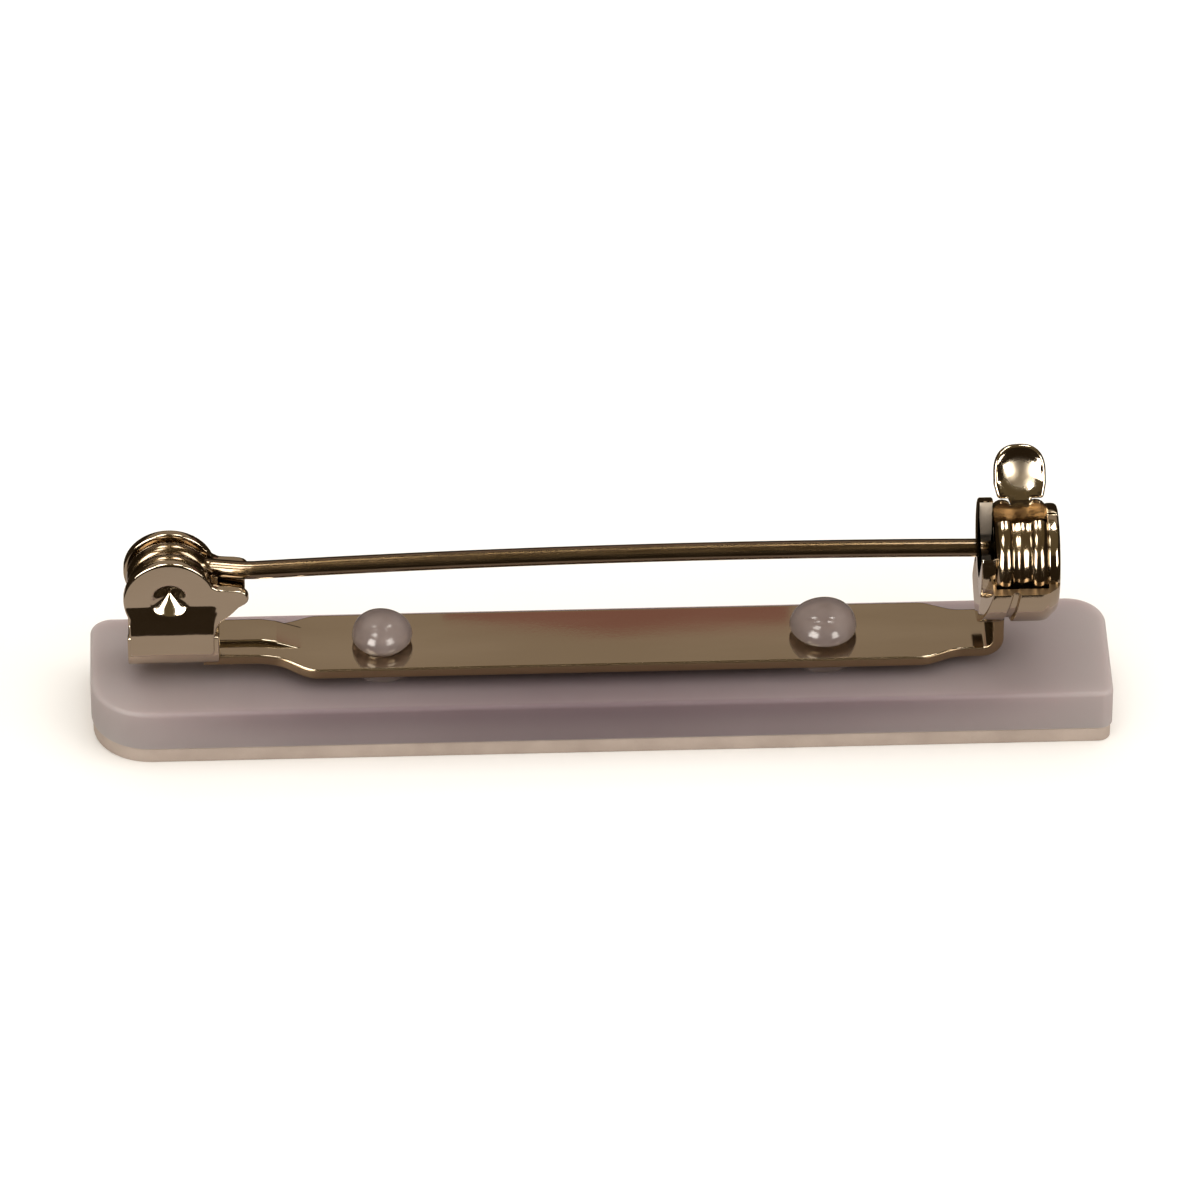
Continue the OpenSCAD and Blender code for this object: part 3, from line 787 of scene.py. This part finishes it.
def wireTree():
    # nodes: path -> even points -> radius that tapers at the point -> tube
    numbers = ("Wire radius", "Tip radius", "Point length", "Spacing")
    tree, add, given = startTree("PointedWire", "Path", numbers)
    even = add("GeometryNodeResampleCurve", {"Curve": given["Path"], "Length": given["Spacing"]},
               {"mode": "LENGTH"})
    here = add("GeometryNodeSplineParameter").outputs["Length"]
    whole = add("GeometryNodeSplineLength").outputs["Length"]
    toTip = add("ShaderNodeMath", {0: whole, 1: here}, {"operation": "SUBTRACT"})
    ground = add("ShaderNodeMapRange", {
        "Value": toTip, "From Min": 0.0, "From Max": given["Point length"],
        "To Min": given["Tip radius"], "To Max": given["Wire radius"]})
    sized = add("GeometryNodeSetCurveRadius", {"Curve": even, "Radius": ground})
    ring = add("GeometryNodeCurvePrimitiveCircle", {"Resolution": 24, "Radius": 1.0})
    radius = add("GeometryNodeInputRadius")
    tube = add("GeometryNodeCurveToMesh", {
        "Curve": sized, "Profile Curve": ring, "Scale": radius, "Fill Caps": True})
    return endTree(tree, tube, given["Finish"])


def bakeNodes(source, tree, inputs, name):
    modifier = source.modifiers.new("Shape", "NODES")
    modifier.node_group = tree
    for item in tree.interface.items_tree:
        if item.in_out == "INPUT" and item.name in inputs:
            modifier[item.identifier] = inputs[item.name]
    source.update_tag()
    bpy.context.view_layer.update()
    seen = bpy.context.evaluated_depsgraph_get()
    mesh = bpy.data.meshes.new_from_object(source.evaluated_get(seen), depsgraph=seen)
    mesh.name = name
    bpy.data.objects.remove(source)
    return mesh


wireFinish = drawnWire()
pathCurve = bpy.data.curves.new("wirePath", "CURVE")
pathCurve.dimensions = "3D"
spline = pathCurve.splines.new("POLY")
wirePoints = wirePath()
spline.points.add(len(wirePoints) - 1)
for point, (x, y, z) in zip(spline.points, wirePoints):
    point.co = (x * mm, y * mm, z * mm, 1)
wireMesh = bakeNodes(addObject("wirePath", pathCurve), wireTree(), {
    "Wire radius": wire["diameter"] / 2 * mm, "Tip radius": wire["pointRadius"] * mm,
    "Point length": wire["pointLength"] * mm, "Spacing": wire["spacing"] * mm,
    "Finish": wireFinish}, "pin_wire")
finishPiece(wireMesh, "pin_wire", wireFinish, "pin_stem", sharp=60)
print("pin wire: made,", len(wireMesh.polygons), "faces")


catch = {
    "rollerFrom": 14.68,
    "rollerTo": 16.5,
    "coreRadius": 1.82,
    "hollowRadius": 1.0,
    "endFrom": 16.36,       # disc that closes the roller's right end
    "endTo": 16.48,
    "endRadius": 1.1,
    "slotHalf": 0.47,
    "ribCount": 3,
    "ribFirst": 14.98,
    "ribSpacing": 0.62,
    "ribRadius": 0.42,
    "ribReach": 2.05,
    "middleDrop": 0.12,     # how much lower the middle rib stands
    "cradleFrom": 14.5,
    "cradleInner": 2.12,
    "cradleOuter": 2.5,
    "cradleRound": 0.9,
    "cradleBore": 0.9,
    "groove": 15.26,
    "grooveDepth": 0.16,
    "lean": 0.26,           # how far it leans to the left for each mm below the axis
    "capFrom": 16.58,
    "capTo": 17.0,
    "capRise": 0.02,        # how far the round cap stands out of the housing's end wall
    "capRadius": 1.88,
    "sideFrom": 14.08,
    "sideTo": 14.62,
    "sideRadius": 1.86,
    "sideLift": 0.35,
    "sideBore": 0.75,
    "sideOpening": 52,      # direction that its opening reaches to, in degrees from straight up to the front
}
slotAngle = math.degrees(math.asin(catch["slotHalf"] / catch["coreRadius"]))
catchFinish = platedStamping()


def discProfile(start, end, radius, endRound, startRound):
    # half section of a disc about the catch's axis
    return [(start, 0.01, 0), (end, 0.01, 0), (end, radius, endRound), (start, radius, startRound)]


# hollow roller, open at the top where the wire drops in
rollerFrom, rollerTo = catch["rollerFrom"], catch["rollerTo"]
core, hollow = catch["coreRadius"], catch["hollowRadius"]
rollerProfile = filletOutline([(rollerFrom, hollow, 0.05), (rollerTo, hollow, 0.05),
                               (rollerTo, core, 0.1), (rollerFrom, core, 0.1)], 4)
loft([revolve(rollerProfile, slotAngle, 360 - slotAngle, 96)], "roller_core", catchFinish, "catch_roller")
fullTurn = 359.99
endProfile = filletOutline(discProfile(catch["endFrom"], catch["endTo"], catch["endRadius"], 0.02, 0.02), 4)
loft([revolve(endProfile, 0, fullTurn, 64)], "roller_end", catchFinish, "catch_roller")


def ribTree():
    # nodes: a row of points along the bar, each with an open ring of round section
    numbers = ("Spacing", "Ring radius", "Rib radius", "Slot angle")
    tree, add, given = startTree("RollerRibs", "Start", numbers, ("Count",))
    step = add("ShaderNodeCombineXYZ", {"X": given["Spacing"]})
    row = add("GeometryNodeMeshLine", {"Count": given["Count"], "Offset": step})
    sweep = add("ShaderNodeMath", {0: given["Slot angle"], 1: -2.0, 2: 2 * math.pi},
                {"operation": "MULTIPLY_ADD"})
    arc = add("GeometryNodeCurveArc", {
        "Resolution": 97, "Radius": given["Ring radius"],
        "Start Angle": given["Slot angle"], "Sweep Angle": sweep})
    section = add("GeometryNodeCurvePrimitiveCircle", {"Resolution": 20, "Radius": given["Rib radius"]})
    tube = add("GeometryNodeCurveToMesh", {"Curve": arc, "Profile Curve": section, "Fill Caps": True})
    placed = add("GeometryNodeInstanceOnPoints", {
        "Points": row, "Instance": tube, "Rotation": (0, -math.pi / 2, 0)})
    return endTree(tree, placed, given["Finish"])


ribMesh = bakeNodes(addObject("ribStart", bpy.data.meshes.new("ribStart")), ribTree(), {
    "Count": catch["ribCount"], "Spacing": catch["ribSpacing"] * mm,
    "Ring radius": (catch["ribReach"] - catch["ribRadius"]) * mm, "Rib radius": catch["ribRadius"] * mm,
    "Slot angle": math.radians(slotAngle), "Finish": catchFinish}, "roller_ribs")
# the row is made around the origin, then moved to the roller's axis; the middle rib stands a little lower
ribCo = np.array([v.co for v in ribMesh.vertices])
middle = np.abs(ribCo[:, 0] - catch["ribSpacing"] * mm) < catch["ribSpacing"] / 2 * mm
reach = np.hypot(ribCo[:, 1], ribCo[:, 2])
ribCo[middle, 1:] *= (1 - catch["middleDrop"] * mm / np.maximum(reach[middle], mm))[:, None]
ribCo += np.array((catch["ribFirst"], 0, level["catch"])) * mm
ribMesh.vertices.foreach_set("co", ribCo.astype(np.float32).ravel())
finishPiece(ribMesh, "roller_ribs", catchFinish, "catch_roller", sharp=60)


def cradleLean(x, depth):
    # the left side and the seam of the cradle lean as the sheet fans out of the neck
    return -catch["lean"] * within(depth, 0.0, 2.0) * within((16.6 - x) / 1.9)


# cradle: half tube under the roller, with a seam
inner, outer, bore = catch["cradleInner"], catch["cradleOuter"], catch["cradleBore"]
groove, seamFloor = catch["groove"], outer - catch["grooveDepth"]
cornerCut, capTo = catch["cradleRound"] * 0.55, catch["capTo"]
cradleProfile = filletOutline([
    (catch["cradleFrom"], bore, 0.02), (catch["sideTo"], bore, 0.02), (catch["sideTo"], inner, 0.06),
    (catch["capFrom"], inner, 0.06), (catch["capFrom"], bore, 0.02), (capTo, bore, 0.02),
    (capTo, outer - cornerCut, 0.5), (capTo - cornerCut, outer, 0.5), (groove + 0.26, outer, 0.06),
    (groove + 0.2, seamFloor, 0.05), (groove, seamFloor, 0.05), (groove - 0.06, outer, 0.06),
    (catch["cradleFrom"], outer, 0.08)], 4)
loft([revolve(cradleProfile, 90, 270, 64, cradleLean)],
     "catch_cradle", platedSheet("NickelCradleWithPaintedLipShade", shadedEdgeAxis="Z"), "bar_plate")

capEnd = capTo + catch["capRise"]
capProfile = filletOutline(discProfile(catch["capFrom"], capEnd, catch["capRadius"], 0.22, 0.07))
loft([revolve(capProfile, 0, fullTurn, 96)], "catch_cap", sheetFinish, "bar_plate")


def sidePlateOutline():
    # C plate seen along the bar, as (y, z) around the wire: open from straight up to the front
    radius, half, bore = catch["sideRadius"], catch["slotHalf"], catch["sideBore"]
    turn = math.radians(catch["sideOpening"])
    way = np.array((-math.sin(turn), math.cos(turn)))
    edge = half * np.array((-math.cos(turn), -math.sin(turn)))
    mouth = edge + way * math.sqrt(radius ** 2 - half ** 2)

    def arc(height, size, start, end, steps):
        angles = np.radians(np.linspace(start, end, steps))
        return [(size * math.cos(a), height + size * math.sin(a)) for a in angles]

    front = math.degrees(math.atan2(mouth[1], mouth[0]))
    points = arc(0, radius, front, 360 + math.degrees(math.acos(half / radius)), 72)
    points += arc(-catch["sideLift"], bore, math.degrees(math.acos(half / bore)), -142, 30)
    points.append(tuple(edge + way * 0.62))
    return np.array(points)


sideZ = level["catch"] + catch["sideLift"]
sideRings = sweptRings(sidePlateOutline(), catch["sideFrom"], catch["sideTo"],
                       ((0, 0.1), (0, 0.06), (0.015, 0.025), (0.06, 0.0)), sideZ)
loft([sideRings], "catch_side_plate", mouthSheet((0.0, 0.0, sideZ), catch["sideRadius"]), "bar_plate")

tab = {
    "x": 15.66,
    "thickness": 0.42,
    "reach": 4.1,
    "tipFrom": 3.0,
    "halfWidth": 0.97,
    "footHalf": 0.42,
    "footFrom": 1.75,
    "flareFrom": 2.08,
    "flareTo": 2.63,
    "lean": 34.0,
    "cupRadius": 1.6,
    "cupDepth": 0.24,
    "edge": 0.1,
}
tabMiddle = (tab["flareFrom"] + tab["reach"]) / 2


def tabOutline():
    # foot, flare, straight sides and a squarish round tip
    half, foot, flare, tipFrom = tab["halfWidth"], tab["footHalf"], tab["flareFrom"], tab["tipFrom"]
    right = filletOutline([(-foot, tab["footFrom"], 0.02), (foot, tab["footFrom"], 0.02), (foot, flare, 0.06),
                           (half - 0.1, flare, 0.16), (half, tab["flareTo"], 0.3), (half, tipFrom, 0)], 5)
    left = filletOutline([(-half, tipFrom, 0), (-half, tab["flareTo"], 0.3), (-half + 0.14, flare, 0.16),
                          (-foot, flare, 0.06)], 5)
    crown = []
    for a in np.linspace(0, math.pi, 33)[1:-1]:
        c, d = math.cos(a), math.sin(a)
        crown.append((half * math.copysign(abs(c) ** 0.8, c), tipFrom + (tab["reach"] - tipFrom) * d ** 0.8))
    return np.array([tuple(p) for p in right] + crown + [tuple(p) for p in left])


def tabPlace(u, v, w):
    # u along the bar, v away from the roller's axis, w across the tab towards the front
    lean = math.radians(tab["lean"])
    y, z = -w * math.cos(lean) + v * math.sin(lean), w * math.sin(lean) + v * math.cos(lean)
    return (tab["x"] + u, y, level["catch"] + z)


def cupDepth(u, v):
    # hollow of a ball pressed into the front face
    ball = tab["cupRadius"]
    away = min(math.hypot(u, v - tabMiddle), ball)
    return softPositive(tab["cupDepth"] - ball + math.sqrt(ball ** 2 - away ** 2), 0.02)


def tabRings():
    # front and back faces are grids inside the outline, so that the cup is real depth
    outline = tabOutline()
    half, edge = tab["thickness"] / 2, tab["edge"]
    centre = np.array((0.0, tabMiddle))
    shares = [0.02, 0.15, 0.3, 0.45, 0.6, 0.75, 0.87, 0.95]
    grids = [centre + (insetOutline(outline, edge) - centre) * share for share in shares]
    rings = [[tabPlace(u, v, -half) for u, v in grid] for grid in grids]
    rings += [[tabPlace(u, v, w) for u, v in insetOutline(outline, inset)]
              for inset, w in roundedLevels(-half, half, edge, edge, 5, 0.03)]
    rings += [[tabPlace(u, v, half - cupDepth(u, v)) for u, v in grid] for grid in reversed(grids)]
    return rings


tabFinish = platedSheet("ThumbWornNickel", worn=tabPlace(0.0, tabMiddle - 0.1, 0.0))
loft([tabRings()], "thumb_tab", tabFinish, "catch_roller")
print("catch: made")


studio = {
    "cameraElevation": 38.0,
    "cameraYaw": 2.07,
    "distance": 400.0,
    "frameWidth": 44.69,
    "lookAt": (0.0, 0.0, 4.95),
    "floorReach": 4000.0,
    "wallDistance": 400.0,
    "wallElevation": 32.0,          # how high the dark wall stands, seen from the part
    "wallSides": 96,
    "eyeLevel": 6.5,                # height on the part from which the wall's elevation counts
    "clayBehind": 14.0,             # how far behind the middle the clay card stands
    "domeDistance": 380.0,
}


def stageMesh(name, points, material, faces=None):
    # one flat face, unless others are given
    mesh = bpy.data.meshes.new(name)
    mesh.from_pydata([tuple(v * mm for v in p) for p in points], [], faces or [tuple(range(len(points)))])
    mesh.materials.append(material)
    thing = addObject(name, mesh)
    return thing


floorPaint = dress(newMaterial("PaleStudioFloor")[0], {
    "Base Color": hexColour("#fbfaf8"), "Roughness": 1.0, "Specular IOR Level": 0.0})
floorSpan = (-studio["floorReach"], studio["floorReach"])
stageMesh("floor", rectangle(floorSpan, floorSpan, 0), floorPaint)


def addCard(name, points, colour, strength=1.0, faces=None):
    # reflection card: seen in glossy surfaces alone, so that the picture and the shadows stay plain
    paint, add = newMaterial(name)[:2]
    glow = add("ShaderNodeEmission", {"Color": hexColour(colour), "Strength": strength})
    add("ShaderNodeOutputMaterial", {"Surface": glow})
    card = stageMesh(name, points, paint, faces)
    card.visible_camera = False
    card.visible_diffuse = False
    card.visible_transmission = False
    card.visible_shadow = False


def direction(azimuth, elevation):
    # azimuth 0 is the camera's side, positive to the right
    a, e = math.radians(azimuth), math.radians(elevation)
    return np.array((math.sin(a) * math.cos(e), -math.cos(a) * math.cos(e), math.sin(e)))


def addDomeCard(name, azimuths, elevations, colour, strength):
    # piece of a sphere around the part, between two azimuths and two elevations
    across, tall = 12, 8
    points = [direction(a, e) * studio["domeDistance"]
              for e in np.linspace(*elevations, tall) for a in np.linspace(*azimuths, across)]
    faces = [(j * across + i, j * across + i + 1, (j + 1) * across + i + 1, (j + 1) * across + i)
             for j in range(tall - 1) for i in range(across - 1)]
    addCard(name, points, colour, strength, faces)


# dark wall around the part, with a bottom
wall, sides = studio["wallDistance"], studio["wallSides"]
wallTop = wall * math.tan(math.radians(studio["wallElevation"])) + studio["eyeLevel"]
ringPoints = [(wall * math.cos(a), wall * math.sin(a)) for a in np.arange(sides) * 2 * math.pi / sides]
wallFaces = [(i, (i + 1) % sides, sides + (i + 1) % sides, sides + i) for i in range(sides)]
wallFaces.append(tuple(range(sides)))
addCard("darkWall", [(x, y, z) for z in (0.005, wallTop) for x, y in ringPoints], "#30261a", faces=wallFaces)

# cards on the floor, the second only in front of the hinge, and a small one close behind the plate
addCard("warmCard", rectangle((-27, 27), (-9.6, 9.6), 0.01), "#b6a89e")
addCard("hingeCard", rectangle((-22, -11), (-11.8, -9.6), 0.012), "#b6a89e")
clayOutline = ((-5.6, 12.2), (7.9, 12.2), (7.9, 13.8), (4.2, 13.95), (1.2, 14.1), (-0.3, 13.95),
               (-2.5, 13.65), (-4.0, 13.4), (-5.6, 13.15))
addCard("clayCard", [(x, studio["clayBehind"], z) for x, z in clayOutline], "#956b62")

boxWhite = "#fffaf2"
for name, azimuths, elevations, colour, strength in (
        ("backCard", (120, 240), (25, 58), "#a29383", 1.0),
        ("leftBox", (-54, -26), (4, 37), boxWhite, 12.0),
        ("highLeftBox", (-62, -30), (52, 70), boxWhite, 9.0),
        ("rightBox", (26, 48), (6, 38), boxWhite, 9.0),
        ("topBoxLeft", (212, 255), (62, 80), boxWhite, 13.0),
        ("topBoxRight", (148, 105), (62, 80), boxWhite, 13.0)):
    addDomeCard(name, azimuths, elevations, colour, strength)

# wide lights that aren't seen in the metal: azimuth and elevation, distance and size in mm, watts
for name, azimuth, elevation, distance, size, power in (
        ("ceiling", 180, 88, 1200, 3000, 38), ("frontFill", -10, 22, 1400, 1800, 6),
        ("rightFill", 70, 38, 1400, 1200, 6)):
    lamp = bpy.data.lights.new(name, "AREA")
    lamp.shape = "SQUARE"
    lamp.size = size * mm
    lamp.energy = power
    lamp.color = hexColour("#fffdfa")[:3]
    way = Vector(direction(azimuth, elevation))
    light = addObject(name, lamp)
    light.location = way * distance * mm
    light.rotation_euler = way.to_track_quat("Z", "Y").to_euler()
    light.visible_glossy = False

# the camera sees a pale room, and the metal a dim warm one
world = bpy.data.worlds.new("StudioRoom")
bpy.context.scene.world = world
world.use_nodes = True
world.node_tree.nodes.clear()
add = partial(addNode, world.node_tree)
sight = add("ShaderNodeLightPath").outputs["Is Camera Ray"]
room = add("ShaderNodeBackground", {"Color": hexColour("#6a5d44"), "Strength": 1.0})
pale = add("ShaderNodeBackground", {"Color": hexColour("#fbfaf8"), "Strength": 1.0})
both = add("ShaderNodeMixShader", {0: sight, 1: room, 2: pale})
add("ShaderNodeOutputWorld", {"Surface": both})

view = bpy.data.cameras.new("photoView")
view.sensor_width = 36.0
view.lens = view.sensor_width * studio["distance"] / studio["frameWidth"]
view.clip_start, view.clip_end = 0.01, 20.0
camera = addObject("photoView", view)
back = Vector(direction(-studio["cameraYaw"], studio["cameraElevation"]))
camera.location = (Vector(studio["lookAt"]) + back * studio["distance"]) * mm
camera.rotation_mode = "QUATERNION"
camera.rotation_quaternion = (-back).to_track_quat("-Z", "Y")
bpy.context.scene.camera = camera
bpy.context.scene.view_settings.view_transform = "Standard"
print("studio: made")
